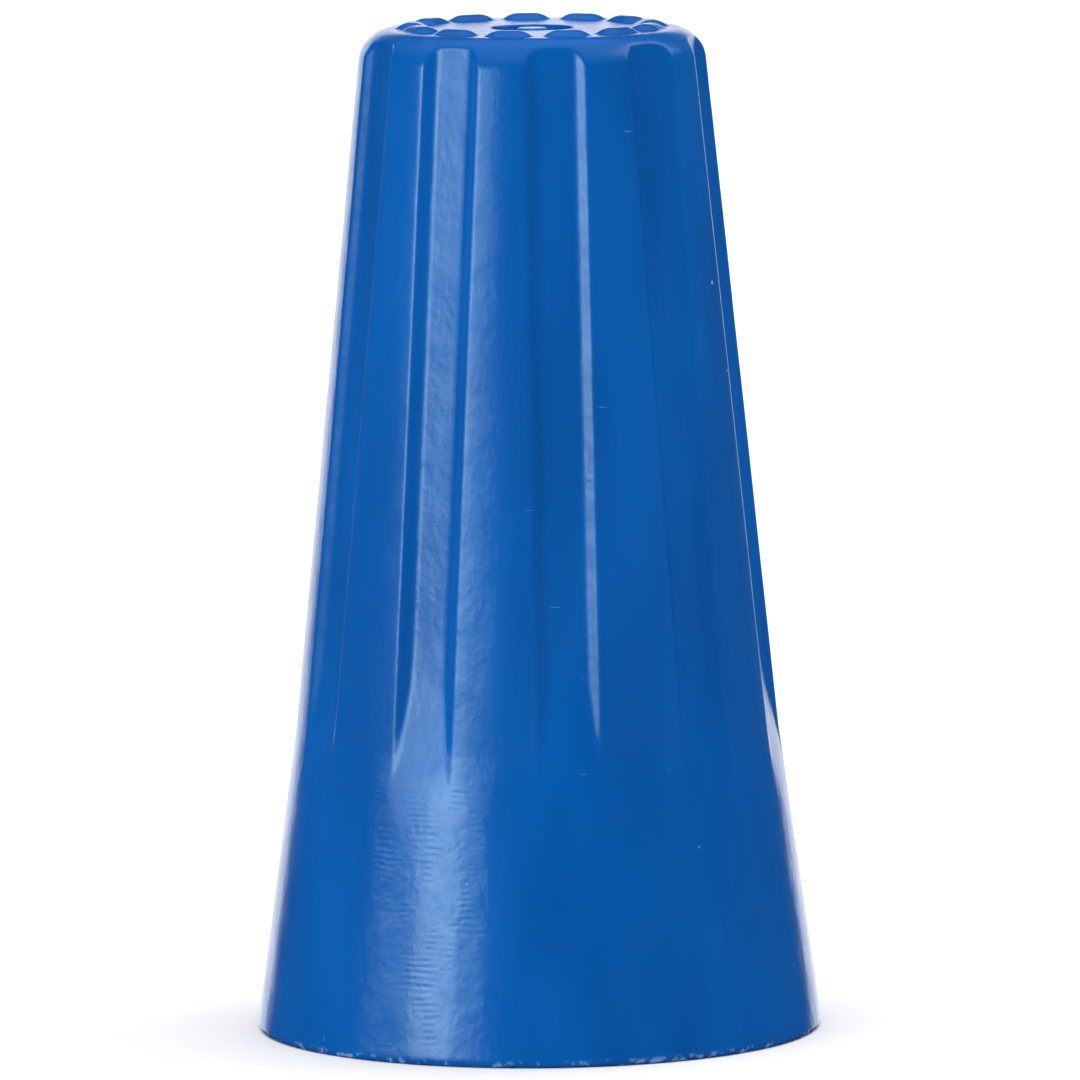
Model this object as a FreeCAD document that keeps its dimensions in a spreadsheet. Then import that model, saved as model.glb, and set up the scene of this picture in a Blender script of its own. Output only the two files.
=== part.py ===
"""Twist wire connector: a fluted, flared insulating shell with a tapered square-wire spring inside.

Millimetres and degrees. +Z points from the open mouth to the closed crown. The origin is the centre
of the mouth, on the plane of the rim.
"""
import FreeCAD, Part
import os
import Sketcher

OUT_DIR = "parts"

# Driving dimensions: alias, value, meaning
SIZES = [
    ("overall_height", 17.97, "rim to the flat of the crown"),
    ("mouth_diameter", 10.16, "outside of the skirt at the rim"),
    ("waist_diameter", 8.66, "outside where the skirt meets the fluted cone"),
    ("waist_height", 5.4, "height of that meeting line"),
    ("crown_diameter", 6.09, "outside of the fluted cone, carried up to the crown"),
    ("crown_rounding", 0.6, "radius of the crown's outer corner"),
    ("rim_rounding", 0.1, "radius of the rim's outer corner"),
    ("flute_count", 10, "grip flutes round the cone"),
    ("flute_turn", 7.6, "turn of the first flute from -Y towards +X, degrees"),
    ("flute_width", 1.25, "width of a flute at the surface"),
    ("flute_floor", 0.7, "width of a flute's flat floor"),
    ("flute_depth", 0.18, "depth of a flute"),
    ("flute_ramp", 2.4, "height over which a flute's floor runs out at the waist"),
    ("skirt_wall", 0.71, "wall at the inner end of the mouth's straight land"),
    ("mouth_leadin", 0.25, "chamfer inside the rim"),
    ("land_length", 2.5, "length of the straight land inside the mouth"),
    ("lip_depth", 6.2, "rim to the lip that holds the spring in"),
    ("lip_height", 0.4, "height of the lip's straight part"),
    ("lip_catch", 0.08, "how far the lip reaches under the spring's widest turn"),
    ("chamber_wall", 0.7, "wall between a flute's floor and the spring's chamber"),
    ("crown_wall", 1.42, "thickness of the closed end"),
    ("live_clearance", 0.15, "room round the spring for its turns to open"),
    ("end_gap", 0.05, "gap at each end of the spring"),
    ("rib_count", 6, "crush ribs that hold the spring's closed end"),
    ("rib_width", 0.35, "width of a crush rib at the chamber's wall"),
    ("rib_length", 2.4, "height of a crush rib"),
    ("rib_bite", 0.04, "how far the wire's corners press into a rib"),
    ("wire_size", 0.65, "side of the spring's square wire"),
    ("coil_gap", 0.04, "gap between neighbouring turns, corner to corner"),
    ("pad_count", 13, "raised pads round the crown"),
    ("pad_turn", 16.6, "turn of the first pad from -Y towards +X, degrees"),
    ("pad_ring_diameter", 4.3, "diameter of the ring through the pads' centres"),
    ("pad_length", 0.88, "length of a pad along the ring"),
    ("pad_width", 0.58, "width of a pad across the ring"),
    ("pad_corner", 0.17, "corner cut off a pad's outline"),
    ("pad_height", 0.11, "height of a pad above the crown"),
    ("pad_draft", 25.0, "slope of a pad's sides, degrees"),
    ("gate_diameter", 1.5, "outside of the ring-shaped recess round the moulding gate"),
    ("gate_nub_diameter", 0.5, "nub left standing in the middle of that recess"),
    ("gate_depth", 0.1, "depth of the recess"),
]

# Lengths worked out from the driving dimensions: alias, formula
WORKED = [
    ("skirt_taper", "(sizes.mouth_diameter - sizes.waist_diameter) / 2 / sizes.waist_height"),
    ("crest_taper", "(sizes.waist_diameter - sizes.crown_diameter) / 2"
                    " / (sizes.overall_height - sizes.waist_height)"),
    ("land_top", "sizes.mouth_leadin + sizes.land_length"),
    ("land_radius", "sizes.mouth_diameter / 2 - skirt_taper * land_top - sizes.skirt_wall"),
    ("chamber_base", "sizes.lip_depth + sizes.lip_height + sizes.live_clearance"),
    ("chamber_top", "sizes.overall_height - sizes.crown_wall"),
    # Radius that the chamber's cone would have at the height of the rim
    ("chamber_root", "sizes.waist_diameter / 2 + crest_taper * sizes.waist_height"
                     " - sizes.flute_depth - sizes.chamber_wall"),
    ("spring_root", "chamber_root - sizes.live_clearance"),
    ("wire_reach", "sizes.wire_size / sqrt(2)"),
    ("coil_pitch", "2 * wire_reach + sizes.coil_gap"),
    ("coil_base", "sizes.lip_depth + sizes.lip_height + sizes.end_gap + wire_reach"),
    ("coil_top", "chamber_top - sizes.end_gap - wire_reach"),
    ("coil_radius", "spring_root - crest_taper * coil_base - wire_reach"),
    ("lip_radius", "coil_radius + wire_reach - sizes.lip_catch"),
    ("flute_flare", "(sizes.flute_width - sizes.flute_floor) / 2 / sizes.flute_depth"),
]


def fill_sheet(doc, name, rows):
    """Makes a spreadsheet with a note, a value or formula and an alias on each row."""
    sheet = doc.addObject("Spreadsheet::Sheet", name)
    for index, (alias, value, note) in enumerate(rows, start=1):
        sheet.set(f"A{index}", note)
        sheet.set(f"B{index}", str(value))
        sheet.setAlias(f"B{index}", alias)
    doc.recompute()
    return sheet


def crest(height):
    """Formula for the radius of the fluted cone's crests at a height."""
    return f"(sizes.waist_diameter / 2 - worked.crest_taper * ({height} - sizes.waist_height))"


def chamber(height):
    """Formula for the radius of the spring's chamber at a height."""
    return f"(worked.chamber_root - worked.crest_taper * ({height}))"


def origin_item(body, role):
    """Finds an origin plane or axis of a body by its role."""
    return [item for item in body.Origin.OriginFeatures if item.Role == role][0]


def add_sketch(body, name, role, height=None, turn=None):
    """Adds a sketch on an origin plane, raised to a height and turned about the plane's normal."""
    sketch = body.newObject("Sketcher::SketchObject", name)
    sketch.AttachmentSupport = [(origin_item(body, role), "")]
    sketch.MapMode = "FlatFace"
    if height:
        sketch.setExpression("AttachmentOffset.Base.z", height)
    if turn:
        sketch.setExpression("AttachmentOffset.Rotation.Angle", turn)
    return sketch


def place_point(sketch, geometry, position, across, along):
    """Binds a point of a sketch to a formula for each of its two coordinates."""
    for kind, axis, formula in (("DistanceX", -2, across), ("DistanceY", -1, along)):
        if formula == "0":
            sketch.addConstraint(Sketcher.Constraint("PointOnObject", geometry, position, axis))
            continue
        value = float(sketch.evalExpression(formula))
        index = sketch.addConstraint(
            Sketcher.Constraint(kind, -1, 1, geometry, position, value)
        )
        sketch.setExpression(f"Constraints[{index}]", formula)


def draw_outline(sketch, corners):
    """Draws a closed outline of straight lines through corners given as pairs of formulas."""
    values = [
        FreeCAD.Vector(*(float(sketch.evalExpression(formula)) for formula in corner))
        for corner in corners
    ]
    count = len(values)
    for index in range(count):
        end = values[(index + 1) % count]
        sketch.addGeometry(Part.LineSegment(values[index], end), False)
    for index in range(count):
        sketch.addConstraint(Sketcher.Constraint("Coincident", index, 2, (index + 1) % count, 1))
    for index, (across, along) in enumerate(corners):
        place_point(sketch, index, 1, across, along)


def draw_circle(sketch, diameter):
    """Draws a circle about the sketch's origin."""
    radius = float(sketch.evalExpression(diameter)) / 2
    index = sketch.addGeometry(
        Part.Circle(FreeCAD.Vector(), FreeCAD.Vector(0, 0, 1), radius), False
    )
    sketch.addConstraint(Sketcher.Constraint("Coincident", index, 3, -1, 1))
    size = sketch.addConstraint(Sketcher.Constraint("Diameter", index, 2 * radius))
    sketch.setExpression(f"Constraints[{size}]", diameter)


def circle_edges(shape, height, radius):
    """Names the full circular edges of a shape at a height with a radius."""
    names = []
    for index, edge in enumerate(shape.Edges, start=1):
        if not isinstance(edge.Curve, Part.Circle):
            continue
        if abs(edge.Curve.Center.z - height) < 1e-6 and abs(edge.Curve.Radius - radius) < 1e-6:
            names.append(f"Edge{index}")
    return names


def add_fillet(doc, body, name, base, height, radius, rounding):
    """Rounds the circular edge of a feature that lies at a height and a radius."""
    doc.recompute()
    edges = circle_edges(base.Shape, height, radius)
    if len(edges) != 1:
        raise RuntimeError(f"{name}: expected one edge, found {len(edges)}")
    fillet = body.newObject("PartDesign::Fillet", name)
    fillet.Base = (base, edges)
    fillet.setExpression("Radius", rounding)
    return fillet


def add_loft(body, kind, name, sketches):
    """Adds a straight-sided loft through sketches, as added or removed material."""
    loft = body.newObject(kind, name)
    loft.Profile = sketches[0]
    loft.Sections = sketches[1:]
    loft.Ruled = True
    return loft


def add_ring(doc, body, name, feature, count):
    """Repeats a feature round the body's Z axis."""
    doc.recompute()
    pattern = body.newObject("PartDesign::PolarPattern", name)
    pattern.Originals = [feature]
    pattern.Axis = (origin_item(body, "Z_Axis"), [""])
    pattern.Angle = 360
    pattern.setExpression("Occurrences", count)
    body.Tip = pattern
    doc.recompute()
    return pattern


def require_change(name, before, after, grows):
    """Stops the build if a feature didn't add or remove material as it should."""
    if (after > before) != grows or abs(after - before) < 1e-6:
        raise RuntimeError(f"{name}: volume went from {before:.4f} to {after:.4f}")


def turn_shell_blank(doc, body):
    """Turns the skirt, the cone, the crown and the cavity from one half section."""
    sketch = add_sketch(body, "half_section", "XZ_Plane")
    outside = [
        ("0", "sizes.overall_height"),
        ("sizes.crown_diameter / 2", "sizes.overall_height"),
        ("sizes.waist_diameter / 2", "sizes.waist_height"),
        ("sizes.mouth_diameter / 2", "0"),
    ]
    inside = [
        ("worked.land_radius + sizes.mouth_leadin", "0"),
        ("worked.land_radius", "sizes.mouth_leadin"),
        ("worked.land_radius", "worked.land_top"),
        ("worked.lip_radius", "sizes.lip_depth"),
        ("worked.lip_radius", "sizes.lip_depth + sizes.lip_height"),
        (chamber("worked.chamber_base"), "worked.chamber_base"),
        (chamber("worked.chamber_top"), "worked.chamber_top"),
        ("0", "worked.chamber_top"),
    ]
    draw_outline(sketch, outside + inside)
    turned = body.newObject("PartDesign::Revolution", "turned_blank")
    turned.Profile = sketch
    turned.ReferenceAxis = (sketch, ["V_Axis"])
    turned.Angle = 360
    doc.recompute()
    return turned


def cut_flutes(doc, body):
    """Cuts the grip flutes: flat floors, sloped sides and floors that ramp out at the waist."""
    ramp_foot = "(sizes.waist_height - sizes.flute_ramp / 2)"
    ramp_head = "(sizes.waist_height + sizes.flute_ramp / 2)"
    above = "(sizes.overall_height + sizes.crown_rounding)"
    skirt_at_foot = "(sizes.waist_diameter / 2 + worked.skirt_taper * sizes.flute_ramp / 2)"
    levels = [
        ("flute_foot", ramp_foot, f"({skirt_at_foot} + sizes.flute_depth / 12)"),
        ("flute_head", ramp_head, f"({crest(ramp_head)} - sizes.flute_depth)"),
        ("flute_end", above, f"({crest(above)} - sizes.flute_depth)"),
    ]
    sketches = []
    for name, height, floor in levels:
        outer = f"({floor} + 3 * sizes.flute_depth)"
        sketch = add_sketch(body, name, "XY_Plane", height, "sizes.flute_turn")
        corners = []
        for side, reach in (("-", floor), ("", floor), ("", outer), ("-", outer)):
            half = f"(sizes.flute_width / 2 + worked.flute_flare * ({reach} - {crest(height)}))"
            corners.append((f"{side}{half}", f"-{reach}"))
        draw_outline(sketch, corners)
        sketches.append(sketch)
    flute = add_loft(body, "PartDesign::SubtractiveLoft", "flute", sketches)
    return add_ring(doc, body, "flutes", flute, "sizes.flute_count")


def add_crush_ribs(doc, body):
    """Adds the tapering ribs that the spring's narrow end is pressed into."""
    rib_base = "(worked.chamber_top - sizes.rib_length)"
    rib_full = "(worked.chamber_top - sizes.rib_length * 3 / 4)"
    roof = "(worked.chamber_top + sizes.rib_bite)"
    proud = "(sizes.live_clearance + sizes.rib_bite)"
    levels = [
        ("rib_foot", rib_base, "(-sizes.rib_bite)"),
        ("rib_full", rib_full, proud),
        ("rib_roof", roof, proud),
    ]
    sketches = []
    for name, height, stand in levels:
        sketch = add_sketch(body, name, "XY_Plane", height)
        wall = f"({chamber(height)} + sizes.chamber_wall / 3)"
        tip = f"({chamber(height)} - {stand})"
        draw_outline(
            sketch,
            [
                ("-sizes.rib_width / 2", f"-{wall}"),
                ("sizes.rib_width / 2", f"-{wall}"),
                ("sizes.rib_width / 4", f"-{tip}"),
                ("-sizes.rib_width / 4", f"-{tip}"),
            ],
        )
        sketches.append(sketch)
    rib = add_loft(body, "PartDesign::AdditiveLoft", "crush_rib", sketches)
    return add_ring(doc, body, "crush_ribs", rib, "sizes.rib_count")


def add_crown_pads(doc, body):
    """Adds the ring of plain raised pads on the crown."""
    sketch = add_sketch(body, "pad_outline", "XY_Plane", "sizes.overall_height", "sizes.pad_turn")
    middle = "sizes.pad_ring_diameter / 2"
    end = "sizes.pad_length / 2"
    side = "sizes.pad_width / 2"
    cut = "sizes.pad_corner"
    draw_outline(
        sketch,
        [
            (f"-({end} - {cut})", f"-({middle} + {side})"),
            (f"{end} - {cut}", f"-({middle} + {side})"),
            (end, f"-({middle} + {side} - {cut})"),
            (end, f"-({middle} - {side} + {cut})"),
            (f"{end} - {cut}", f"-({middle} - {side})"),
            (f"-({end} - {cut})", f"-({middle} - {side})"),
            (f"-({end})", f"-({middle} - {side} + {cut})"),
            (f"-({end})", f"-({middle} + {side} - {cut})"),
        ],
    )
    pad = body.newObject("PartDesign::Pad", "crown_pad")
    pad.Profile = sketch
    pad.setExpression("Length", "sizes.pad_height")
    pad.setExpression("TaperAngle", "-sizes.pad_draft")
    return add_ring(doc, body, "crown_pads", pad, "sizes.pad_count")


def sink_gate_mark(doc, body):
    """Sinks the ring-shaped recess of the moulding gate, which leaves a nub in its middle."""
    sketch = add_sketch(body, "gate_outline", "XY_Plane", "sizes.overall_height")
    draw_circle(sketch, "sizes.gate_diameter")
    draw_circle(sketch, "sizes.gate_nub_diameter")
    recess = body.newObject("PartDesign::Pocket", "gate_mark")
    recess.Profile = sketch
    recess.setExpression("Length", "sizes.gate_depth")
    doc.recompute()
    return recess


def build_shell(doc):
    """Builds the one-piece moulded shell."""
    body = doc.addObject("PartDesign::Body", "shell")
    body.Label = "shell"
    sizes = doc.getObject("sizes")
    blank = turn_shell_blank(doc, body)
    crown = add_fillet(
        doc, body, "crown_corner", blank,
        float(sizes.overall_height), sizes.crown_diameter / 2, "sizes.crown_rounding",
    )
    rim = add_fillet(
        doc, body, "rim_corner", crown, 0.0, sizes.mouth_diameter / 2, "sizes.rim_rounding"
    )
    doc.recompute()
    require_change("corners", blank.Shape.Volume, rim.Shape.Volume, grows=False)
    before = rim
    steps = ((cut_flutes, False), (add_crush_ribs, True), (add_crown_pads, True),
             (sink_gate_mark, False))
    for step, grows in steps:
        after = step(doc, body)
        require_change(after.Name, before.Shape.Volume, after.Shape.Volume, grows)
        before = after
    return body


def build_spring(doc):
    """Builds the tapered right-hand coil of square wire, set corner inwards."""
    body = doc.addObject("PartDesign::Body", "spring")
    body.Label = "spring"
    sketch = add_sketch(body, "wire_section", "XZ_Plane")
    radius = "worked.coil_radius"
    base = "worked.coil_base"
    reach = "worked.wire_reach"
    draw_outline(
        sketch,
        [
            (f"{radius} + {reach}", base),
            (radius, f"{base} + {reach}"),
            (f"{radius} - {reach}", base),
            (radius, f"{base} - {reach}"),
        ],
    )
    coil = body.newObject("PartDesign::AdditiveHelix", "coil")
    coil.Profile = sketch
    coil.ReferenceAxis = (sketch, ["V_Axis"])
    coil.Mode = "pitch-height-angle"
    coil.LeftHanded = False
    coil.setExpression("Pitch", "worked.coil_pitch")
    coil.setExpression("Height", "worked.coil_top - worked.coil_base")
    coil.setExpression("Angle", "-atan(worked.crest_taper)")
    doc.recompute()
    return body


def check_and_write(doc, bodies):
    """Stops on any failed object or bad shape, then writes one STEP file for each piece."""
    for item in doc.Objects:
        if {"Invalid", "Error"} & set(item.State):
            raise RuntimeError(f"{item.Name}: {item.State}")
    for body in bodies:
        shape = body.Shape
        if shape.isNull() or not shape.isValid() or len(shape.Solids) != 1:
            raise RuntimeError(f"{body.Label}: not one valid solid")
    os.makedirs(OUT_DIR, exist_ok=True)
    for body in bodies:
        body.Shape.exportStep(os.path.join(OUT_DIR, f"{body.Label}.step"))
        print(f"{body.Label}: {body.Shape.Volume:.3f} mm3")


def main():
    doc = FreeCAD.newDocument("twist_wire_connector")
    fill_sheet(doc, "sizes", SIZES)
    fill_sheet(doc, "worked", [(alias, f"={formula}", "worked out") for alias, formula in WORKED])
    bodies = [build_shell(doc), build_spring(doc)]
    for body in bodies:
        body.Placement = FreeCAD.Placement()
    doc.recompute()
    check_and_write(doc, bodies)


main()
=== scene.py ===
import math
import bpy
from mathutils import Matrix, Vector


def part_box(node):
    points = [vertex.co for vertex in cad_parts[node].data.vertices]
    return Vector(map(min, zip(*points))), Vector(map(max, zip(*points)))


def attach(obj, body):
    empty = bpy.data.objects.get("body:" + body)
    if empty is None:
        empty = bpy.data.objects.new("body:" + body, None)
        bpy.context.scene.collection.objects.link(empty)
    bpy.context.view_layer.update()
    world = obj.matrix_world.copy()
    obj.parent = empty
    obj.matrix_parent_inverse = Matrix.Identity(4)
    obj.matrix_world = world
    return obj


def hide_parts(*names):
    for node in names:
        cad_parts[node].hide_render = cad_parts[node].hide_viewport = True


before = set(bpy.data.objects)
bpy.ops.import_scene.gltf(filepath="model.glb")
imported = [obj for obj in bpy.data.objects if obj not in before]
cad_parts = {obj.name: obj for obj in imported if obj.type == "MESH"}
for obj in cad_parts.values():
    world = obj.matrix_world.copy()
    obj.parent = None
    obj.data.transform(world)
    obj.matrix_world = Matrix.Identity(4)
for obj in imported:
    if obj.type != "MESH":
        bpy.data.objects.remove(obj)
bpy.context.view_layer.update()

from types import SimpleNamespace

import bmesh
import bpy
from mathutils import Matrix, Vector, noise

bl_info = {
    "name": "Twist Wire Connector",
    "version": (1, 0, 0),
    "blender": (4, 5, 0),
    "location": "3D View > Sidebar > Connector",
    "description": "Builds a twist-on wire connector: its moulded shell, its wire spring and a stage",
    "category": "Add Mesh",
}

MM = 0.001
SHELL_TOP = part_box("shell")[1].z / MM - 0.001
SPRING_LOW, SPRING_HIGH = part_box("spring")

# Rings on the skirt, in millimetres: their spacing, the height where they end, and, in radians,
# how far they wander
RING_SPACING = 0.11
RINGS_END = 5.1
RING_WANDER = 5.0

# Where mesh columns start and finish gathering, in millimetres: at the flutes, below the waist, and
# at the pads, inside their ring. The band, inside the crown's rounding, is where one gives way to
# the other.
FLUTE_COLUMNS = (2.2, 1.2)
PAD_COLUMNS = (0.75, 0.35)
CROWN_BAND = 0.45

# One over the size, in millimetres, of the wall's slight sinks and of the rim's nicks
SINK_SCALE = 0.6
NICK_SCALE = 3.1

# Smoothness of the pads' outlines, in millimetres, and of their tops and feet, as shares of a pad
PAD_OUTLINE_SOFTNESS = 0.05
PAD_TOP_SOFTNESS = 0.6
PAD_FOOT_SOFTNESS = 0.3

# Lights: name, turn from the front in degrees, then distance, height, width and tallness in
# metres, and watts
LIGHT_AIM = (0.0, 0.0, 0.009)
LIGHTS = (
    ("overhead_softbox", 0.0, 0.0, 1.3, 3.6, 3.6, 61.0),
    ("left_card", -51.0, 0.6, 0.125, 0.58, 0.13, 0.86),
    ("left_strip", -45.5, 0.5, 0.08, 0.167, 0.108, 0.36),
    ("right_fill", 105.0, 0.8, 0.7, 0.8, 0.6, 2.5),
    ("back_card", 180.0, 0.9, 0.035, 1.04, 0.45, 2.2),
)


def linear_colour(hex_code):
    """Turns an sRGB hex colour into Blender's linear red, green and blue."""
    channels = [int(hex_code[start:start + 2], 16) / 255 for start in (0, 2, 4)]
    return tuple(c / 12.92 if c <= 0.04045 else ((c + 0.055) / 1.055) ** 2.4 for c in channels)


def length_property(name, description, millimetres):
    """Declares a length, given in millimetres and kept in metres."""
    return bpy.props.FloatProperty(
        name=name, description=description, default=millimetres * MM, unit="LENGTH", precision=5
    )


def angle_property(name, description, degrees):
    """Declares an angle, given in degrees and kept in radians."""
    return bpy.props.FloatProperty(
        name=name, description=description, default=math.radians(degrees), subtype="ANGLE"
    )


def colour_property(name, description, hex_code):
    """Declares a colour, given as an sRGB hex value."""
    return bpy.props.FloatVectorProperty(
        name=name, description=description, default=linear_colour(hex_code), subtype="COLOR",
        min=0.0, max=1.0,
    )


class ShellSizes(bpy.types.PropertyGroup):
    """Sizes of the moulded shell."""

    pad_height: length_property("Pad height", "Height of a pad above the crown", 0.11)
    total_height: length_property("Total height", "Rim to the top of the pads", SHELL_TOP)
    mouth_diameter: length_property("Mouth diameter", "Outside of the skirt at the rim", 10.148)
    waist_diameter: length_property("Waist diameter", "Outside where skirt and cone meet", 8.66)
    waist_height: length_property("Waist height", "Height of that meeting line", 5.4)
    crown_diameter: length_property("Crown diameter", "The cone's outside, at the crown", 6.09)
    crown_rounding: length_property("Crown rounding", "Radius of the crown's corner", 0.6)
    rim_rounding: length_property("Rim rounding", "Radius of the rim's outer corner", 0.1)
    flute_count: bpy.props.IntProperty(
        name="Flutes", description="Grip flutes round the cone", default=10, min=3
    )
    flute_turn: angle_property("Flute turn", "Turn of the first flute from the front", 7.6)
    flute_width: length_property("Flute width", "Width of a flute at the surface", 1.25)
    flute_floor: length_property("Flute floor", "Width of a flute's flat floor", 0.7)
    flute_depth: length_property("Flute depth", "Depth of a flute", 0.18)
    flute_ramp: length_property("Flute ramp", "Height over which a flute runs out", 2.4)
    flute_edge: length_property("Flute edge", "Softness of a flute's outer edges", 0.04)
    flute_fillet: length_property("Flute fillet", "Softness where floor meets side", 0.06)
    land_radius: length_property("Land radius", "Radius of the mouth's straight land", 3.988)
    mouth_leadin: length_property("Lead-in", "Chamfer inside the rim", 0.25)
    land_length: length_property("Land length", "Length of the mouth's straight land", 2.5)
    lip_depth: length_property("Lip depth", "Rim to the lip below the spring", 6.2)
    lip_height: length_property("Lip height", "Height of the lip's straight part", 0.4)
    lip_radius: length_property("Lip radius", "Radius inside the lip", 3.045)
    chamber_wall: length_property("Chamber wall", "Wall between flute and chamber", 0.7)
    chamber_rise: length_property("Chamber rise", "Height of the slope behind the lip", 0.15)
    crown_wall: length_property("Crown wall", "Thickness of the closed end", 1.42)
    inner_rounding: length_property("Inner rounding", "Radius of the cavity's corners", 0.06)
    rib_count: bpy.props.IntProperty(
        name="Crush ribs", description="Ribs that hold the spring's closed end", default=6, min=2
    )
    rib_width: length_property("Rib width", "Width of a crush rib at the wall", 0.35)
    rib_length: length_property("Rib length", "Height of a crush rib", 2.4)
    rib_stand: length_property("Rib stand", "How far a crush rib stands proud", 0.19)
    pad_count: bpy.props.IntProperty(
        name="Pads", description="Raised pads round the crown", default=13, min=3
    )
    pad_turn: angle_property("Pad turn", "Turn of the first pad from the front", 16.6)
    pad_ring_radius: length_property("Pad ring", "Radius through the pads' centres", 2.15)
    pad_length: length_property("Pad length", "Length of a pad along the ring", 0.88)
    pad_width: length_property("Pad width", "Width of a pad across the ring", 0.58)
    pad_corner: length_property("Pad corner", "Corner cut off a pad's outline", 0.17)
    pad_draft: angle_property("Pad draft", "Slope of a pad's sides", 58.0)
    gate_radius: length_property("Gate radius", "Outside of the recess at the gate", 0.75)
    nub_radius: length_property("Nub radius", "Nub in the middle of the recess", 0.25)
    gate_depth: length_property("Gate depth", "Depth of the recess", 0.1)
    waviness: length_property("Waviness", "Depth of the moulding's slight sinks", 0.006)
    rim_nick: length_property("Rim nicks", "Depth of the small nicks along the rim", 0.02)
    columns: bpy.props.IntProperty(
        name="Columns", description="Mesh columns round the shell", default=400, min=64
    )
    sectors: bpy.props.IntProperty(
        name="Sectors", description="Like sectors that the shell is spun in", default=20, min=3
    )


class SpringSizes(bpy.types.PropertyGroup):
    """Sizes of the wire spring."""

    wire_size: length_property("Wire size", "Side of the square wire", 0.65)
    wire_edge: length_property("Wire edge", "Radius of the wire's corners", 0.06)
    coil_gap: length_property("Coil gap", "Gap between turns, corner to corner", 0.04)
    coil_radius: length_property("Coil radius", "Axis to wire centre, at the lip", 2.665)
    taper: bpy.props.FloatProperty(
        name="Taper", description="Fall of the coil's radius for each unit of height",
        default=0.1022, precision=4,
    )
    steps_per_turn: bpy.props.IntProperty(
        name="Steps per turn", description="Mesh steps round each turn", default=72, min=12
    )


class FinishColours(bpy.types.PropertyGroup):
    """Colours of the materials."""

    plastic: colour_property("Plastic", "Moulded polypropylene, mid blue", "0157A8")
    plastic_deep: colour_property("Plastic, deep", "The same, in its darker flow bands", "004F9C")
    # Colour of a paler, cyan disc round the gate's nub on the crown
    pale_centre_tint: colour_property("Pale centre tint", "Paler cyan round the gate's nub", "0A70B6")
    sheen: colour_property("Sheen", "Tint of the gloss where it is seen face on", "CCF3FF")
    scuffed: colour_property("Scuffed plastic", "Plastic whitened by rubbing", "6E9BD2")
    dust: colour_property("Dust", "Fine pale specks", "B4C8E2")
    zinc: colour_property("Zinc", "Zinc plate on drawn wire", "C4C6C8")
    zinc_dull: colour_property("Dull zinc", "Zinc where it has begun to oxidise", "9DA0A3")
    board: colour_property("Board", "Matt white board", "F2F2F0")
    board_fibre: colour_property("Board fibre", "The same, in its duller fibres", "F0F0EE")


class StageSizes(bpy.types.PropertyGroup):
    """Places of the floor, the lights and the camera."""

    floor_size: length_property("Floor size", "Side of the square floor", 6000.0)
    camera_distance: length_property("Camera distance", "Camera to the connector's axis", 213.0)
    camera_height: length_property("Camera height", "Camera above the floor", 33.6)
    camera_side: length_property("Camera side", "Camera to the right of the axis", 0.07)
    aim_height: length_property("Aim height", "Height that the camera looks at", 8.77)
    lens: bpy.props.FloatProperty(
        name="Lens", description="Focal length in millimetres on a 36 mm sensor", default=399.0
    )
    camera_roll: angle_property("Camera roll", "Lean of the camera about its view", 0.45)


class ConnectorSettings(bpy.types.PropertyGroup):
    """Everything a user may change."""

    shell: bpy.props.PointerProperty(type=ShellSizes)
    spring: bpy.props.PointerProperty(type=SpringSizes)
    colours: bpy.props.PointerProperty(type=FinishColours)
    stage: bpy.props.PointerProperty(type=StageSizes)


def in_millimetres(group):
    """Copies a group's values, with lengths in millimetres, which suit the mesh operators."""
    values = {}
    for key in group.__annotations__:
        value = getattr(group, key)
        is_length = group.bl_rna.properties[key].unit == "LENGTH"
        values[key] = value / MM if is_length else value
    return SimpleNamespace(**values)


def ease(value, start, end):
    """Rises smoothly from 0 at start to 1 at end."""
    share = min(max((value - start) / (end - start), 0.0), 1.0)
    return share * share * (3 - 2 * share)


def soft_min(first, second, softness):
    """The lesser of two values, with the corner between them rounded."""
    near = max(softness - abs(first - second), 0.0) / softness
    return min(first, second) - near * near * softness / 4


def soft_max(first, second, softness):
    """The greater of two values, with the corner between them rounded."""
    return -soft_min(-first, -second, softness)


def along(knots, value):
    """Reads a line of straight stretches, given as pairs, at a value."""
    for (start, low), (end, high) in zip(knots, knots[1:]):
        if value <= end:
            return low + (high - low) * (value - start) / (end - start)
    return knots[-1][1]


# ---------------------------------------------------------------------------------------- shell


def shell_measures(sizes):
    """Adds the lengths that follow from the shell's sizes."""
    s = sizes
    s.crown_height = s.total_height - s.pad_height
    s.waist_radius = s.waist_diameter / 2
    s.skirt_taper = (s.mouth_diameter - s.waist_diameter) / 2 / s.waist_height
    s.crest_taper = (s.waist_diameter - s.crown_diameter) / 2 / (s.crown_height - s.waist_height)
    s.chamber_base = s.lip_depth + s.lip_height + s.chamber_rise
    s.chamber_top = s.crown_height - s.crown_wall
    s.flat_radius = s.crown_diameter / 2 - s.crown_rounding
    return s


def crest_radius(sizes, height):
    """Radius of the fluted cone's crests at a height."""
    return sizes.waist_radius - sizes.crest_taper * (height - sizes.waist_height)


def chamber_radius(sizes, height):
    """Radius of the spring's chamber at a height."""
    return crest_radius(sizes, height) - sizes.flute_depth - sizes.chamber_wall


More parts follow.
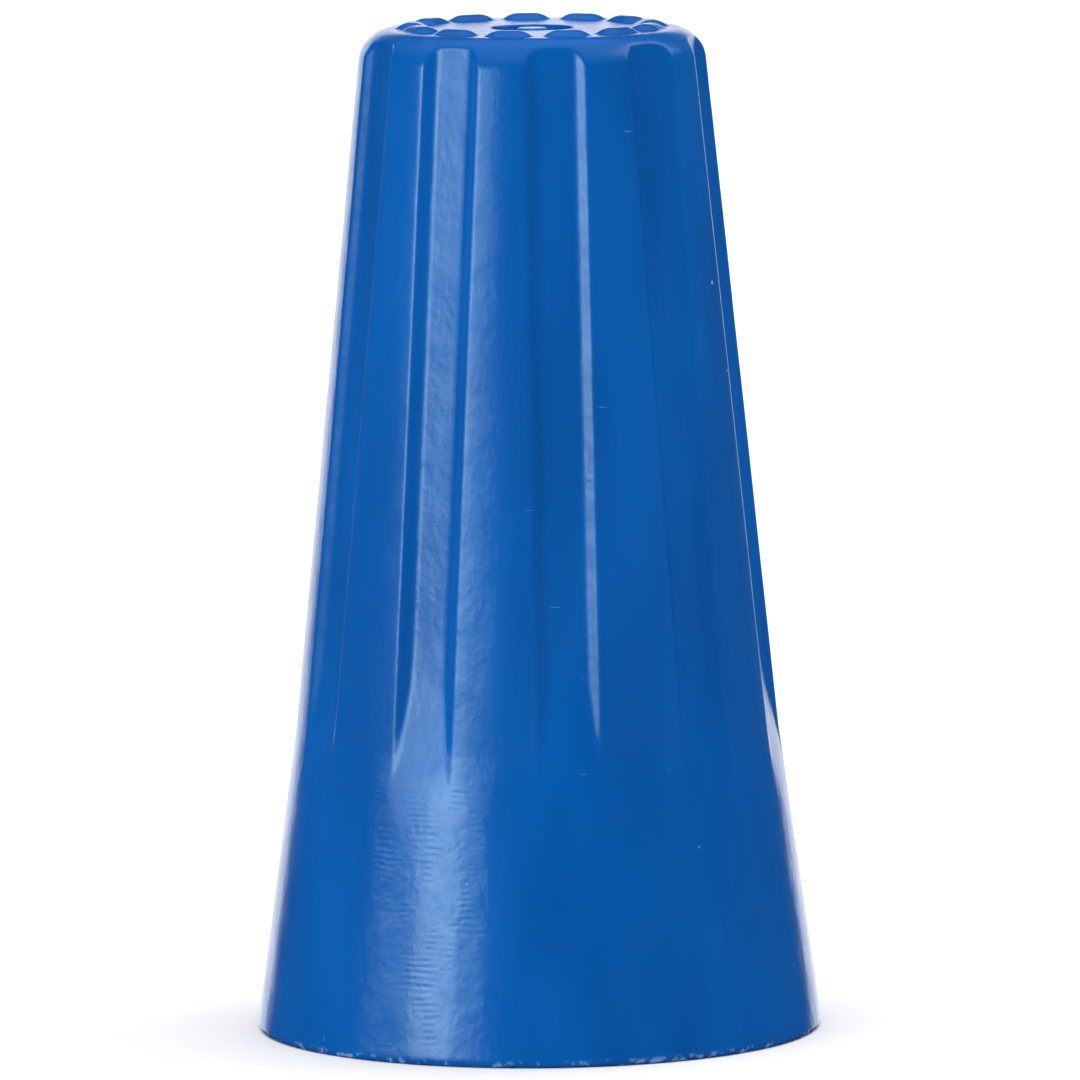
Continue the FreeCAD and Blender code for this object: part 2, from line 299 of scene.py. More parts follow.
def half_section(sizes):
    """Corners of the shell's half section, from the crown's middle out, down and back up inside.

    Each corner gives its radius, its height, its rounding and the ring spacing after it.
    """
    s = sizes
    top = s.crown_height
    recess = top - s.gate_depth
    fine = 0.028
    pad_outer = s.pad_ring_radius + s.pad_width / 2
    pad_inner = s.pad_ring_radius - s.pad_width / 2
    draft = s.pad_height * math.tan(s.pad_draft)
    mouth_radius = s.mouth_diameter / 2
    ramp_foot = s.waist_height - s.flute_ramp / 2
    ramp_head = s.waist_height + s.flute_ramp / 2
    land_top = s.mouth_leadin + s.land_length
    skirt_at_foot = s.waist_radius + s.skirt_taper * s.flute_ramp / 2
    return [
        (0.0, top, 0.0, 0.1),
        (s.nub_radius, top, 0.03, 0.05),
        (s.nub_radius + 0.03, recess, 0.02, 0.12),
        (s.gate_radius - 0.03, recess, 0.02, 0.05),
        (s.gate_radius, top, 0.03, 0.3),
        (pad_inner - 0.03, top, 0.0, fine),
        (pad_inner + draft + 0.03, top, 0.0, 0.09),
        (pad_outer - draft - 0.03, top, 0.0, fine),
        (s.crown_diameter / 2, top, s.crown_rounding, 0.6),
        (crest_radius(s, ramp_head), ramp_head, 0.0, 0.09),
        (s.waist_radius, s.waist_height, 0.12, 0.09),
        (skirt_at_foot, ramp_foot, 0.0, 0.5),
        (mouth_radius - s.skirt_taper * 0.4, 0.4, 0.0, 0.06),
        (mouth_radius, 0.0, s.rim_rounding, 0.25),
        (s.land_radius + s.mouth_leadin, 0.0, s.inner_rounding, 0.2),
        (s.land_radius, s.mouth_leadin, s.inner_rounding, 0.8),
        (s.land_radius, land_top, s.inner_rounding * 4, 0.8),
        (s.lip_radius, s.lip_depth, s.inner_rounding, 0.2),
        (s.lip_radius, s.lip_depth + s.lip_height, s.inner_rounding, 0.2),
        (chamber_radius(s, s.chamber_base), s.chamber_base, s.inner_rounding, 0.8),
        (chamber_radius(s, s.chamber_top - s.rib_length), s.chamber_top - s.rib_length, 0.0, 0.15),
        (chamber_radius(s, s.chamber_top), s.chamber_top, s.inner_rounding * 3, 0.4),
        (0.0, s.chamber_top, 0.0, 0.0),
    ]


def draw_half_section(bm, sizes):
    """Draws the half section as a chain of edges, rounds its corners and spaces out its rings."""
    corners = half_section(sizes)
    points = [bm.verts.new((radius, 0.0, height)) for radius, height, _, _ in corners]
    places = [point.co.copy() for point in points]
    for start, end in zip(points, points[1:]):
        bm.edges.new((start, end))
    for index in range(1, len(points) - 1):
        rounding = corners[index][2]
        if rounding == 0.0:
            continue
        before = (places[index - 1] - places[index]).normalized()
        after = (places[index + 1] - places[index]).normalized()
        half_angle = before.angle(after) / 2
        segments_per_radian = 9 if rounding > 0.3 else 4
        bmesh.ops.bevel(
            bm, geom=[points[index]], offset=rounding / math.tan(half_angle), offset_type="OFFSET",
            segments=max(2, round((math.pi - 2 * half_angle) * segments_per_radian)), profile=0.5,
            affect="VERTICES", material=-1,
        )
    for edge in list(bm.edges):
        middle = (edge.verts[0].co + edge.verts[1].co) / 2
        spacing = min(
            (distance_to_stretch(middle, start, end), corner[3])
            for corner, start, end in zip(corners, places, places[1:])
        )[1]
        cuts = math.ceil(edge.calc_length() / spacing - 0.001) - 1
        if cuts > 0:
            bmesh.ops.subdivide_edges(bm, edges=[edge], cuts=cuts)


def distance_to_stretch(point, start, end):
    """Distance from a point to a straight stretch between two points."""
    run = end - start
    share = min(max((point - start).dot(run) / run.length_squared, 0.0), 1.0)
    return (point - start - run * share).length


def flute_surface(sizes, height, across):
    """Distance of a flute's cut surface from the axis, at a height and a distance across."""
    s = sizes
    ramp_foot = s.waist_height - s.flute_ramp / 2
    ramp_head = s.waist_height + s.flute_ramp / 2
    foot = s.waist_radius + s.skirt_taper * s.flute_ramp / 2 + s.flute_depth / 12
    head = crest_radius(s, ramp_head) - s.flute_depth
    ramp = foot + (head - foot) * (height - ramp_foot) / (ramp_head - ramp_foot)
    floor = soft_max(crest_radius(s, height) - s.flute_depth, ramp, s.flute_fillet)
    flare = (s.flute_width - s.flute_floor) / 2 / s.flute_depth
    wall = crest_radius(s, height) - (s.flute_width / 2 - abs(across)) / flare
    return soft_max(floor, wall, s.flute_fillet)


def turn_between(angle, start, count, knots):
    """Moves an angle within its repeat, so that mesh columns gather at that repeat's edges.

    The knots give shares of half a repeat and the angles, from its middle, that they move to.
    """
    pitch = 2 * math.pi / count
    repeats = (angle - start) / pitch
    nearest = round(repeats)
    share = abs(repeats - nearest) * 2
    side = 1 if repeats >= nearest else -1
    return start + nearest * pitch + side * along(knots, share)


def flute_knots(sizes, radius):
    """Where mesh columns gather across half a flute and half a crest."""
    s = sizes
    half_floor = s.flute_floor / 2
    half_width = s.flute_width / 2
    places = [
        (0.0, 0.0),
        (0.15, half_floor - 0.12),
        (0.40, half_floor + 0.06),
        (0.50, half_width - 0.13),
        (0.74, half_width + 0.04),
    ]
    knots = [(share, math.asin(across / radius)) for share, across in places]
    return knots + [(1.0, math.pi / s.flute_count)]


def pad_knots(sizes):
    """Where mesh columns gather across half a pad and half the gap beside it."""
    s = sizes
    side = s.pad_length / 2 / s.pad_ring_radius
    return [(0.0, 0.0), (0.3, side * 0.55), (0.9, side * 1.04), (1.0, math.pi / s.pad_count)]


def pad_rise(sizes, radius, angle):
    """Height of the crown's pads at a radius and an angle from the front."""
    s = sizes
    pitch = 2 * math.pi / s.pad_count
    repeats = (angle - s.pad_turn) / pitch
    offset = (repeats - round(repeats)) * pitch
    across = abs(radius * math.sin(offset))
    out = abs(radius * math.cos(offset) - s.pad_ring_radius)
    half_length = s.pad_length / 2
    half_width = s.pad_width / 2
    corner = (across + out - half_length - half_width + s.pad_corner) / math.sqrt(2)
    beyond = soft_max(
        soft_max(across - half_length, out - half_width, PAD_OUTLINE_SOFTNESS), corner,
        PAD_OUTLINE_SOFTNESS,
    )
    run = s.pad_height * math.tan(s.pad_draft)
    rise = soft_max(soft_min(-beyond / run, 1.0, PAD_TOP_SOFTNESS), 0.0, PAD_FOOT_SOFTNESS)
    return s.pad_height * min(rise, 1.0)


def rib_stand(sizes, height, angle, radius):
    """How far the crush ribs stand out of the chamber's wall."""
    s = sizes
    repeats = angle * s.rib_count / (2 * math.pi)
    offset = (repeats - round(repeats)) * 2 * math.pi / s.rib_count
    across = abs(radius * math.sin(offset))
    side = ease(across, s.rib_width / 2, s.rib_width / 4)
    foot = s.chamber_top - s.rib_length
    return s.rib_stand * side * ease(height, foot, foot + s.rib_length / 4)


def shape_outer_skin(point, sizes):
    """Places one point of the turned outside: flutes, pads and the mould's slight waviness."""
    s = sizes
    radius = math.hypot(point.x, point.y)
    height = point.z
    angle = math.atan2(point.x, -point.y)
    if radius < 1e-4:
        return point
    on_cone = ease(height, s.waist_height - FLUTE_COLUMNS[0], s.waist_height - FLUTE_COLUMNS[1])
    on_side = on_cone * ease(radius, s.flat_radius, s.flat_radius + CROWN_BAND)
    on_ring = ease(radius, s.pad_ring_radius - PAD_COLUMNS[0], s.pad_ring_radius - PAD_COLUMNS[1])
    at_pads = on_ring * (1 - on_side)
    new_angle = angle
    if on_side > 0:
        fluted = turn_between(angle, s.flute_turn, s.flute_count, flute_knots(s, radius))
        new_angle += on_side * (fluted - angle)
    if at_pads > 0 and height > s.crown_height - s.crown_rounding:
        padded = turn_between(angle, s.pad_turn, s.pad_count, pad_knots(s))
        new_angle += at_pads * (padded - angle)
    if on_side > 0:
        pitch = 2 * math.pi / s.flute_count
        middle = s.flute_turn + round((new_angle - s.flute_turn) / pitch) * pitch
        across = radius * math.sin(new_angle - middle)
        out = radius * math.cos(new_angle - middle)
        out = soft_min(out, flute_surface(s, height, across), s.flute_edge)
        radius = math.hypot(across, out)
        new_angle = middle + math.atan2(across, out)
    if height > s.crown_height - 1e-4 and radius > s.gate_radius:
        height += pad_rise(s, radius, new_angle)
    out = Vector((math.sin(new_angle), -math.cos(new_angle), 0.0))
    place = out * radius + Vector((0.0, 0.0, height))
    # The sinks leave the rim and the crown's corner as they are, and nicks are at the very rim.
    on_wall = ease(height, 0.5, 1.5) * ease(height, s.crown_height - 0.1, s.crown_height - 0.9)
    sink = s.waviness * noise.noise(place * SINK_SCALE) * on_wall
    nicked = ease(noise.noise(place * NICK_SCALE), 0.3, 0.6)
    nick = s.rim_nick * nicked * ease(height, 0.12, 0.02)
    return place + out * (sink - nick)


def shape_inner_skin(point, sizes):
    """Places one point of the turned inside, with the crush ribs."""
    s = sizes
    if point.z < s.chamber_top - s.rib_length or point.z > s.chamber_top:
        return point
    radius = math.hypot(point.x, point.y)
    if radius < chamber_radius(s, point.z) - 0.25:
        return point
    angle = math.atan2(point.x, -point.y)
    radius -= rib_stand(s, point.z, angle, radius)
    return Vector((radius * math.sin(angle), -radius * math.cos(angle), point.z))


def make_shell_mesh(sizes):
    """Turns the half section into the shell and shapes its flutes, pads and ribs."""
    s = shell_measures(sizes)
    bm = bmesh.new()
    draw_half_section(bm, s)
    bmesh.ops.rotate(
        bm, verts=bm.verts[:], cent=(0, 0, 0),
        matrix=Matrix.Rotation(s.flute_turn - math.pi / 2, 3, "Z"),
    )
    # A sector is spun and repeated, which is far quicker than one spin all the way round.
    sector = 2 * math.pi / s.sectors
    bmesh.ops.spin(
        bm, geom=bm.verts[:] + bm.edges[:], cent=(0, 0, 0), axis=(0, 0, 1), dvec=(0, 0, 0),
        angle=sector, steps=round(s.columns / s.sectors), use_merge=False, use_duplicate=False,
    )
    first = bm.verts[:] + bm.edges[:] + bm.faces[:]
    for step in range(1, s.sectors):
        copied = bmesh.ops.duplicate(bm, geom=first)["geom"]
        bmesh.ops.rotate(
            bm, verts=[item for item in copied if isinstance(item, bmesh.types.BMVert)],
            cent=(0, 0, 0), matrix=Matrix.Rotation(step * sector, 3, "Z"),
        )
    bmesh.ops.remove_doubles(bm, verts=bm.verts[:], dist=1e-4)
    wall_middle = s.chamber_wall / 2 + s.flute_depth
    for vert in bm.verts:
        radius = math.hypot(vert.co.x, vert.co.y)
        outside = radius > crest_radius(s, vert.co.z) - wall_middle
        if outside or vert.co.z > s.chamber_top + s.crown_wall / 2:
            vert.co = shape_outer_skin(vert.co, s)
        else:
            vert.co = shape_inner_skin(vert.co, s)
    bmesh.ops.recalc_face_normals(bm, faces=bm.faces[:])
    bmesh.ops.scale(bm, vec=(MM, MM, MM), verts=bm.verts[:])
    return bm


# --------------------------------------------------------------------------------------- spring


def make_spring_mesh(sizes):
    """Winds a rounded square section into a tapered right-hand coil, with its run in a UV map."""
    s = sizes
    reach = s.wire_size / math.sqrt(2)
    pitch = 2 * reach + s.coil_gap
    base = SPRING_LOW.z / MM + reach
    top = SPRING_HIGH.z / MM - reach
    turns = (top - base) / pitch
    steps = round(turns * s.steps_per_turn)
    bm = bmesh.new()
    corners = [
        bm.verts.new((s.coil_radius + reach * math.cos(turn), 0.0, base + reach * math.sin(turn)))
        for turn in (0, math.pi / 2, math.pi, 3 * math.pi / 2)
    ]
    bm.faces.new(corners)
    bmesh.ops.bevel(
        bm, geom=corners, offset=s.wire_edge, offset_type="OFFSET", segments=3, profile=0.5,
        affect="VERTICES", material=-1,
    )
    points_round = len(bm.verts)
    bmesh.ops.spin(
        bm, geom=bm.verts[:] + bm.edges[:] + bm.faces[:], cent=(0, 0, 0), axis=(0, 0, 1),
        dvec=(0, 0, (top - base) / steps), angle=turns * 2 * math.pi, steps=steps,
        use_merge=False, use_duplicate=False,
    )
    rise = (top - base) / steps
    map_along_wire(bm, points_round, base, rise, s)
    for vert in bm.verts:
        radius = math.hypot(vert.co.x, vert.co.y)
        shrink = 1 - s.taper * (vert.co.z - base) / radius
        vert.co.x *= shrink
        vert.co.y *= shrink
    bmesh.ops.recalc_face_normals(bm, faces=bm.faces[:])
    bmesh.ops.scale(bm, vec=(MM, MM, MM), verts=bm.verts[:])
    return bm


def map_along_wire(bm, points_round, base, rise, sizes):
    """Gives the untapered coil a UV map in millimetres: U along the wire and V round it."""
    layer = bm.loops.layers.uv.new("along_wire")
    bm.verts.index_update()
    step = 2 * math.pi * sizes.coil_radius / sizes.steps_per_turn
    round_wire = 4 * sizes.wire_size / (2 * math.pi)
    for face in bm.faces:
        turns = []
        for vert in face.verts:
            height = vert.co.z - base - rise * (vert.index // points_round)
            turns.append(math.atan2(height, math.hypot(vert.co.x, vert.co.y) - sizes.coil_radius))
        wraps = max(turns) - min(turns) > math.pi
        for loop, turn in zip(face.loops, turns):
            turned = turn + 2 * math.pi if wraps and turn < 0 else turn
            loop[layer].uv = (loop.vert.index // points_round * step, turned * round_wire)


# ------------------------------------------------------------------------------------ materials


def add_node(tree, kind, options=None, inputs=None):
    """Adds a node, sets its options and fills its inputs with values or links."""
    node = tree.nodes.new(kind)
    for key, value in (options or {}).items():
        setattr(node, key, value)
    for key, value in (inputs or {}).items():
        if isinstance(value, bpy.types.NodeSocket):
            tree.links.new(value, node.inputs[key])
        else:
            node.inputs[key].default_value = value
    return node


def new_material(name):
    """Makes an empty node material with its output and gives its tree."""
    material = bpy.data.materials.new(name)
    material.use_nodes = True
    tree = material.node_tree
    tree.nodes.clear()
    output = add_node(tree, "ShaderNodeOutputMaterial")
    return material, tree, output


def patches(tree, place, scale, detail, low, high):
    """Soft patches of noise, 0 below the low level and 1 above the high one."""
    spread = add_node(tree, "ShaderNodeMapping", None, {"Vector": place, "Scale": scale})
    noise_node = add_node(tree, "ShaderNodeTexNoise", None, {
        "Vector": spread.outputs["Vector"], "Scale": 1.0, "Detail": detail, "Roughness": 0.55,
    })
    level = add_node(tree, "ShaderNodeMapRange", {"interpolation_type": "SMOOTHSTEP"}, {
        "Value": noise_node.outputs[0], "From Min": low, "From Max": high,
    })
    return level.outputs["Result"]


def weighted_sum(tree, start, *pairs):
    """Adds values to a start, each times its weight."""
    total = start
    for value, weight in pairs:
        total = add_node(tree, "ShaderNodeMath", {"operation": "MULTIPLY_ADD"}, {
            0: value, 1: weight, 2: total,
        }).outputs[0]
    return total


def moulded_polypropylene(colours, sizes):
    """Polypropylene, injection moulded against a polished steel cavity."""
    # To the eye: an even deep blue with a soft-edged gloss. The gloss wavers over slight sinks,
    # shows rings left by the cavity's turning, and drag lines up the flutes from ejection. A few
    # pale scuffs and specks come from handling in bulk.
    material, tree, output = new_material("moulded_polypropylene_satin_gloss")
    place = add_node(tree, "ShaderNodeTexCoord").outputs["Object"]
    in_mm = add_node(tree, "ShaderNodeVectorMath", {"operation": "SCALE"}, {
        0: place, "Scale": 1 / MM,
    }).outputs[0]
    split = add_node(tree, "ShaderNodeSeparateXYZ", None, {0: in_mm})
    height = split.outputs["Z"]
    level = add_node(tree, "ShaderNodeCombineXYZ", None, {
        "X": split.outputs["X"], "Y": split.outputs["Y"],
    }).outputs[0]
    radius = add_node(
        tree, "ShaderNodeVectorMath", {"operation": "LENGTH"}, {0: level}
    ).outputs["Value"]

    # Each pattern's scale is one over the size, in millimetres, of its patches along X, Y and Z.
    flow = patches(tree, in_mm, (0.5, 0.5, 0.14), detail=2.0, low=0.36, high=0.66)
    clouds = patches(tree, in_mm, (1.9, 1.9, 1.4), detail=3.0, low=0.3, high=0.7)
    drag = patches(tree, in_mm, (7.0, 7.0, 0.45), detail=3.0, low=0.3, high=0.72)
    peel = patches(tree, in_mm, (7.0, 7.0, 7.0), detail=2.0, low=0.25, high=0.75)

    # Turning rings, as a cutter leaves in the cavity, are too fine to show at their real spacing.
    # They are drawn 0.11 mm apart, and they wander and break up.
    wander = patches(tree, in_mm, (0.9, 0.9, 0.9), detail=2.0, low=0.2, high=0.8)
    ring_area = patches(tree, in_mm, (2.4, 2.4, 0.6), detail=2.0, low=0.46, high=0.66)
    ring_phase = weighted_sum(tree, 0.0, (wander, RING_WANDER), (height, 2 * math.pi / RING_SPACING))
    wave = add_node(tree, "ShaderNodeMath", {"operation": "SINE"}, {0: ring_phase}).outputs[0]
    on_skirt = add_node(tree, "ShaderNodeMapRange", {"interpolation_type": "SMOOTHSTEP"}, {
        "Value": height, "From Min": RINGS_END + 0.5, "From Max": RINGS_END - 0.5,
    }).outputs["Result"]
    strength = add_node(tree, "ShaderNodeMath", {"operation": "MULTIPLY"}, {
        0: ring_area, 1: on_skirt,
    }).outputs[0]
    rings = add_node(tree, "ShaderNodeMath", {"operation": "MULTIPLY"}, {
        0: wave, 1: strength,
    }).outputs[0]

    # Scuffs are under a tenth of a millimetre wide and run in two directions.
    scuff_round = patches(tree, in_mm, (1.6, 1.6, 14.0), detail=1.0, low=0.80, high=0.86)
    scuff_up = patches(tree, in_mm, (13.0, 13.0, 1.1), detail=1.0, low=0.80, high=0.86)
    scuffs = add_node(tree, "ShaderNodeMath", {"operation": "MAXIMUM"}, {
        0: scuff_round, 1: scuff_up,
    }).outputs[0]
    faint_scuffs = add_node(tree, "ShaderNodeMath", {"operation": "MULTIPLY"}, {
        0: scuffs, 1: 0.3,
    }).outputs[0]

    # The rim is rubbed pale in places, up to a sixth of a millimetre above its edge.
    rubbed = patches(tree, in_mm, (5.5, 5.5, 5.5), detail=3.0, low=0.52, high=0.62)
    near_rim = add_node(tree, "ShaderNodeMapRange", {"interpolation_type": "SMOOTHSTEP"}, {
        "Value": height, "From Min": 0.16, "From Max": 0.04,
    }).outputs["Result"]
    rim_wear = add_node(tree, "ShaderNodeMath", {"operation": "MULTIPLY"}, {
        0: rubbed, 1: near_rim,
    }).outputs[0]
    worn = add_node(tree, "ShaderNodeMath", {"operation": "MAXIMUM"}, {
        0: faint_scuffs, 1: rim_wear,
    }).outputs[0]

    # Specks of dust are 0.04 mm across, fading out to 0.08 mm, one to a cell 1.6 mm wide.
    specks_at = add_node(tree, "ShaderNodeTexVoronoi", {"feature": "F1"}, {
        "Vector": in_mm, "Scale": 0.62, "Randomness": 1.0,
    })
    speck = add_node(tree, "ShaderNodeMapRange", None, {
        "Value": specks_at.outputs["Distance"], "From Min": 0.026, "From Max": 0.012,
    }).outputs["Result"]
    faint_speck = add_node(tree, "ShaderNodeMath", {"operation": "MULTIPLY"}, {
        0: speck, 1: 0.6,
    }).outputs[0]

    # A paler, cyan tint is mixed in round the gate's nub, on the crown only.
    nub = sizes.nub_radius / MM
    near_gate = add_node(tree, "ShaderNodeMapRange", {"interpolation_type": "SMOOTHSTEP"}, {
        "Value": radius, "From Min": nub + 0.22, "From Max": nub,
    }).outputs["Result"]
    on_crown = add_node(tree, "ShaderNodeMath", {"operation": "GREATER_THAN"}, {
        0: height, 1: sizes.total_height / MM - 0.6,
    }).outputs[0]
    gate = add_node(tree, "ShaderNodeMath", {"operation": "MULTIPLY"}, {
        0: near_gate, 1: on_crown,
    }).outputs[0]

    colour = (*colours.plastic, 1.0)
    # The disc round the nub is mixed towards a paler cyan.
    layers = (
        (flow, colours.plastic_deep), (gate, colours.pale_centre_tint), (worn, colours.scuffed),
        (faint_speck, colours.dust),
    )
    for share, layer in layers:
        colour = add_node(tree, "ShaderNodeMix", {"data_type": "RGBA"}, {
            0: share, 6: colour, 7: (*layer, 1.0),
        }).outputs[2]
    gloss = weighted_sum(
        tree, 0.205, (clouds, 0.03), (drag, 0.02), (worn, 0.3), (speck, 0.4), (on_skirt, -0.03)
    )
    # Heights in millimetres: sinks of a few microns, and rings and drag lines of under one.
    relief = weighted_sum(
        tree, 0.0, (clouds, 0.0040), (drag, 0.0006), (peel, 0.0006), (rings, 0.0005),
        (scuffs, -0.002), (speck, 0.004),
    )
    bump = add_node(tree, "ShaderNodeBump", None, {
        "Height": relief, "Distance": MM, "Strength": 1.0,
    })
    shader = add_node(tree, "ShaderNodeBsdfPrincipled", None, {
        "Base Color": colour, "Roughness": gloss, "IOR": 1.49, "Normal": bump.outputs["Normal"],
        "Specular Tint": (*colours.sheen, 1.0),
    })
    tree.links.new(shader.outputs["BSDF"], output.inputs["Surface"])
    return material


def zinc_plated_wire(colours):
    """Cold-drawn square steel wire with bright zinc plate."""
    # To the eye: a cool grey metal with a broken shine, fine lines along the wire from the die
    # and duller patches where the plate has begun to oxidise.
    material, tree, output = new_material("zinc_plated_drawn_wire")
    run = add_node(tree, "ShaderNodeTexCoord").outputs["UV"]
    place = add_node(tree, "ShaderNodeTexCoord").outputs["Object"]
    # The UV map is in millimetres: U along the wire and V round it. Die lines are 0.05 mm apart.
    lines = patches(tree, run, (0.35, 20.0, 1.0), detail=2.0, low=0.3, high=0.7)
    dull = patches(tree, place, (1400.0, 1400.0, 1400.0), detail=3.0, low=0.45, high=0.65)
    colour = add_node(tree, "ShaderNodeMix", {"data_type": "RGBA"}, {
        0: dull, 6: (*colours.zinc, 1.0), 7: (*colours.zinc_dull, 1.0),
    }).outputs[2]
    gloss = weighted_sum(tree, 0.24, (dull, 0.2), (lines, 0.08))
    bump = add_node(tree, "ShaderNodeBump", None, {
        "Height": lines, "Distance": 0.0015 * MM, "Strength": 1.0,
    })
    shader = add_node(tree, "ShaderNodeBsdfPrincipled", None, {
        "Base Color": colour, "Roughness": gloss, "Metallic": 1.0,
        "Normal": bump.outputs["Normal"],
    })
    tree.links.new(shader.outputs["BSDF"], output.inputs["Surface"])
    return material


def matt_white_board(colours):
    """Matt white board, as laid on a product table."""
    # To the eye: plain, pale and without gloss, with a faint tooth of pressed fibres.
    material, tree, output = new_material("matt_white_board")
    place = add_node(tree, "ShaderNodeTexCoord").outputs["Object"]
    # Fibres are about 1.5 mm long and 0.3 mm wide.
    fibres = patches(tree, place, (700.0, 3300.0, 1000.0), detail=3.0, low=0.3, high=0.7)
    colour = add_node(tree, "ShaderNodeMix", {"data_type": "RGBA"}, {
        0: fibres, 6: (*colours.board, 1.0), 7: (*colours.board_fibre, 1.0),
    }).outputs[2]
    bump = add_node(tree, "ShaderNodeBump", None, {
        "Height": fibres, "Distance": 0.002 * MM, "Strength": 1.0,
    })
    shader = add_node(tree, "ShaderNodeBsdfPrincipled", None, {
        "Base Color": colour, "Roughness": 0.9, "Normal": bump.outputs["Normal"],
    })
    tree.links.new(shader.outputs["BSDF"], output.inputs["Surface"])
    return material


def add_piece(name, bm, material):
    """Turns a finished mesh into a smooth-shaded object of the scene."""
    mesh = bpy.data.meshes.new(name)
    bm.to_mesh(mesh)
    bm.free()
    mesh.shade_smooth()
    mesh.materials.append(material)
    piece = bpy.data.objects.new(name, mesh)
    bpy.context.scene.collection.objects.link(piece)
    return piece


# -------------------------------------------------------------------------------------- the stage


def add_area_light(name, place, target, width, height, power):
    """Adds a soft rectangular light that the camera itself doesn't see."""
    data = bpy.data.lights.new(name, "AREA")
    data.shape = "RECTANGLE"
    data.size = width
    data.size_y = height
    data.energy = power
    light = bpy.data.objects.new(name, data)
    light.location = place
    light.rotation_euler = (Vector(target) - Vector(place)).to_track_quat("-Z", "Y").to_euler()
    light.visible_camera = False
    bpy.context.scene.collection.objects.link(light)
    return light


def on_circle(azimuth, distance, height):
    """A place round the connector, by its angle from the front towards +X."""
    turn = math.radians(azimuth)
    return (distance * math.sin(turn), -distance * math.cos(turn), height)


def add_surroundings():
    """Gives the studio dark walls and a dim ceiling, which the camera sees as pale."""
    world = bpy.data.worlds.new("studio")
    world.use_nodes = True
    tree = world.node_tree
    tree.nodes.clear()
    way = add_node(tree, "ShaderNodeTexCoord").outputs["Generated"]
    rise = add_node(tree, "ShaderNodeSeparateXYZ", None, {0: way}).outputs["Z"]
    ceiling = add_node(tree, "ShaderNodeMapRange", {"interpolation_type": "SMOOTHSTEP"}, {
        "Value": rise, "From Min": 0.5, "From Max": 0.9, "To Min": 0.03, "To Max": 0.4,
    }).outputs["Result"]
    seen = add_node(tree, "ShaderNodeBackground", None, {"Color": (1, 1, 1, 1), "Strength": 1.0})
    dim = add_node(tree, "ShaderNodeBackground", None, {
        "Color": (1, 1, 1, 1), "Strength": ceiling,
    })
    ray = add_node(tree, "ShaderNodeLightPath")
    mix = add_node(tree, "ShaderNodeMixShader", None, {
        0: ray.outputs["Is Camera Ray"], 1: dim.outputs[0], 2: seen.outputs[0],
    })
    add_node(tree, "ShaderNodeOutputWorld", None, {"Surface": mix.outputs[0]})
    bpy.context.scene.world = world


def add_camera(stage):
    """Adds the camera, a little higher than the crown and looking slightly down."""
    data = bpy.data.cameras.new("camera")
    data.lens = stage.lens
    data.sensor_width = 36.0
    data.clip_start = 0.01
    camera = bpy.data.objects.new("camera", data)
    place = Vector((stage.camera_side, -stage.camera_distance, stage.camera_height))
    aim = Vector((stage.camera_side, 0.0, stage.aim_height))
    look = (aim - place).to_track_quat("-Z", "Y").to_matrix().to_4x4()
    camera.matrix_world = Matrix.Translation(place) @ look @ Matrix.Rotation(
        -stage.camera_roll, 4, "Z"
    )
    bpy.context.scene.collection.objects.link(camera)
    bpy.context.scene.camera = camera


# ------------------------------------------------------------------------------------- operators


class CONNECTOR_OT_shell(bpy.types.Operator):
    """Build the moulded shell"""

    bl_idname = "connector.shell"
    bl_label = "Shell"

    def execute(self, context):
        settings = context.scene.connector
        bm = make_shell_mesh(in_millimetres(settings.shell))
        piece = add_piece("moulded_shell", bm, moulded_polypropylene(
            settings.colours, settings.shell
        ))
        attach(piece, "root")
        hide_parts("shell")
        return {"FINISHED"}


class CONNECTOR_OT_spring(bpy.types.Operator):
    """Build the tapered square-wire spring"""

    bl_idname = "connector.spring"
    bl_label = "Spring"

    def execute(self, context):
        settings = context.scene.connector
        bm = make_spring_mesh(in_millimetres(settings.spring))
        piece = add_piece("wire_spring", bm, zinc_plated_wire(settings.colours))
        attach(piece, "root")
        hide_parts("spring")
        return {"FINISHED"}


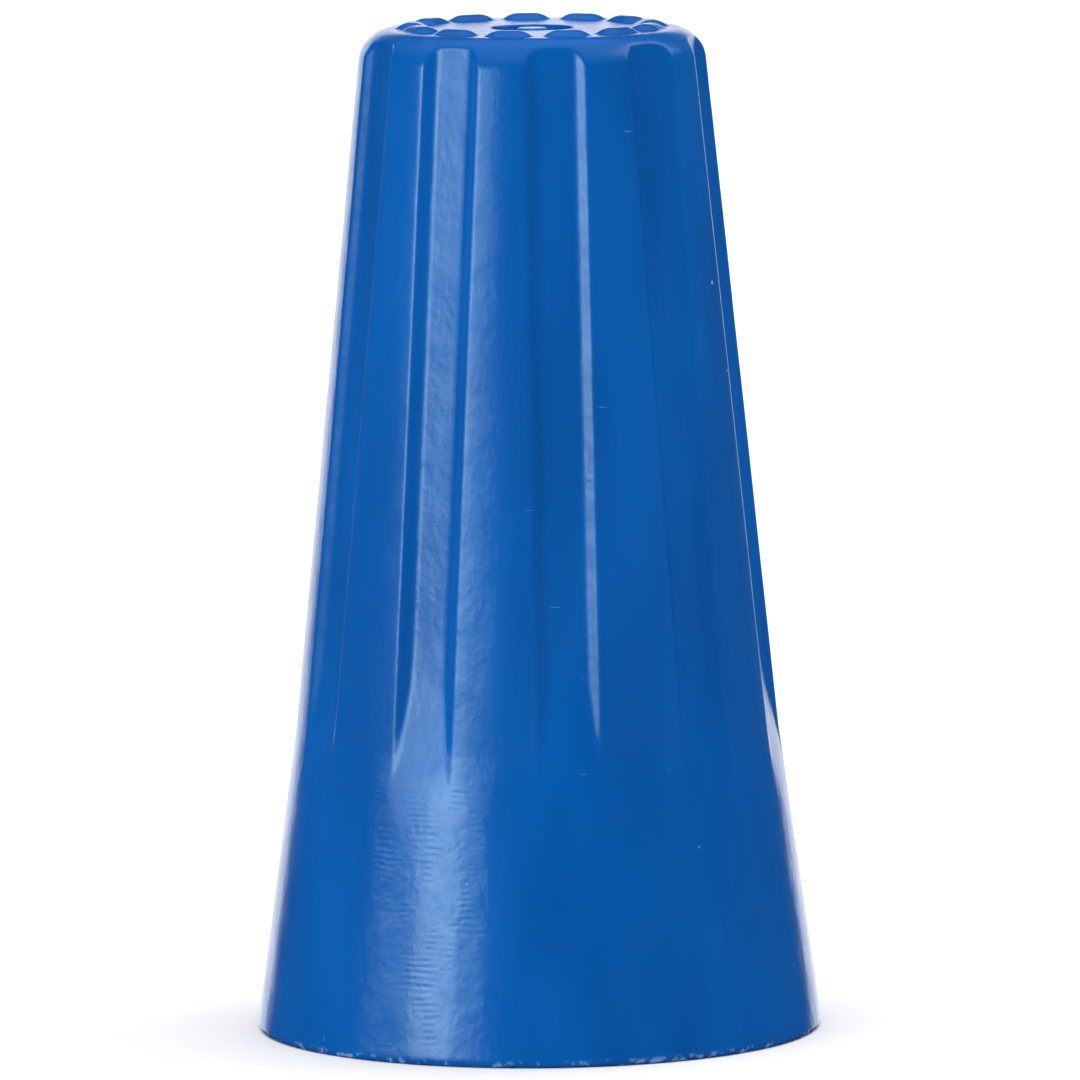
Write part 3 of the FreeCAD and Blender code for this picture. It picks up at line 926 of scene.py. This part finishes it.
class CONNECTOR_OT_stage(bpy.types.Operator):
    """Lay the floor, set the lights and place the camera"""

    bl_idname = "connector.stage"
    bl_label = "Stage"

    def execute(self, context):
        settings = context.scene.connector
        stage = settings.stage
        bm = bmesh.new()
        bmesh.ops.create_grid(bm, x_segments=1, y_segments=1, size=stage.floor_size / 2)
        floor = add_piece("floor", bm, matt_white_board(settings.colours))
        floor.visible_glossy = False
        for name, turn, distance, height, width, tallness, power in LIGHTS:
            place = on_circle(turn, distance, height)
            light = add_area_light(name, place, LIGHT_AIM, width, tallness, power)
            # The overhead light fills, and is kept out of the gloss.
            light.visible_glossy = name != "overhead_softbox"
        add_surroundings()
        add_camera(stage)
        context.scene.view_settings.view_transform = "Standard"
        return {"FINISHED"}


class CONNECTOR_PT_panel(bpy.types.Panel):
    """Lists the connector's operators and sizes"""

    bl_idname = "CONNECTOR_PT_panel"
    bl_label = "Twist Wire Connector"
    bl_space_type = "VIEW_3D"
    bl_region_type = "UI"
    bl_category = "Connector"

    def draw(self, context):
        layout = self.layout
        settings = context.scene.connector
        for operator in OPERATORS:
            layout.operator(operator.bl_idname)
        for group in (settings.shell, settings.spring, settings.colours, settings.stage):
            box = layout.box()
            for key in group.__annotations__:
                box.prop(group, key)


GROUPS = (ShellSizes, SpringSizes, FinishColours, StageSizes, ConnectorSettings)
OPERATORS = (CONNECTOR_OT_shell, CONNECTOR_OT_spring, CONNECTOR_OT_stage)


def register():
    """Registers the classes and adds the settings to the scene."""
    for item in (*GROUPS, *OPERATORS, CONNECTOR_PT_panel):
        bpy.utils.register_class(item)
    bpy.types.Scene.connector = bpy.props.PointerProperty(type=ConnectorSettings)


def unregister():
    """Removes the settings and the classes."""
    del bpy.types.Scene.connector
    for item in reversed((*GROUPS, *OPERATORS, CONNECTOR_PT_panel)):
        bpy.utils.unregister_class(item)


def main():
    register()
    bpy.ops.connector.shell()
    bpy.ops.connector.spring()
    bpy.ops.connector.stage()


if __name__ == "__main__":
    main()
